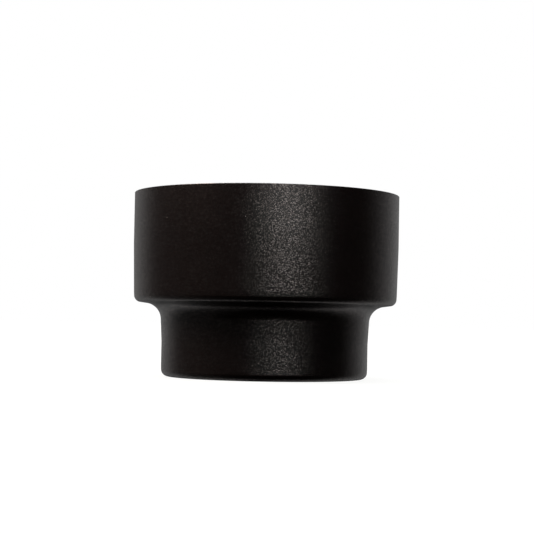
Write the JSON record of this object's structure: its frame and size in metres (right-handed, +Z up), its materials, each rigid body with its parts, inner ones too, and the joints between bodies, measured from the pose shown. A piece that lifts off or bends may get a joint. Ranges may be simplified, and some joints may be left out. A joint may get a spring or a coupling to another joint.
{
  "type": "concentric reducer",
  "caption": "Welded steel stove-pipe reducer: a wide socket steps down through a rounded shoulder to a narrower spigot with a rolled-in lip, with a rope seal on the step inside.",
  "frame": {"origin": "centre of the spigot's lower end, on the axis, where the lip's flat face lies", "axes": "+Z up the pipe's axis from the spigot to the socket; the longitudinal weld seams are at the back, on +Y; +X completes the frame"},
  "size_m": [0.154, 0.154, 0.106],
  "materials": {
    "stove_paint": "satin, fine texture",
    "weld_steel": "dressed flush",
    "glass_rope": "braided"
  },
  "bodies": {
    "root": {"socket_sleeve": "stove_paint", "socket_seam_weld": "weld_steel", "socket_ring_weld": "weld_steel", "step_ring": "stove_paint", "spigot_ring_weld": "weld_steel", "spigot_sleeve": "stove_paint", "spigot_seam_weld": "weld_steel", "rope_seal": "glass_rope"}
  },
  "joints": []
}
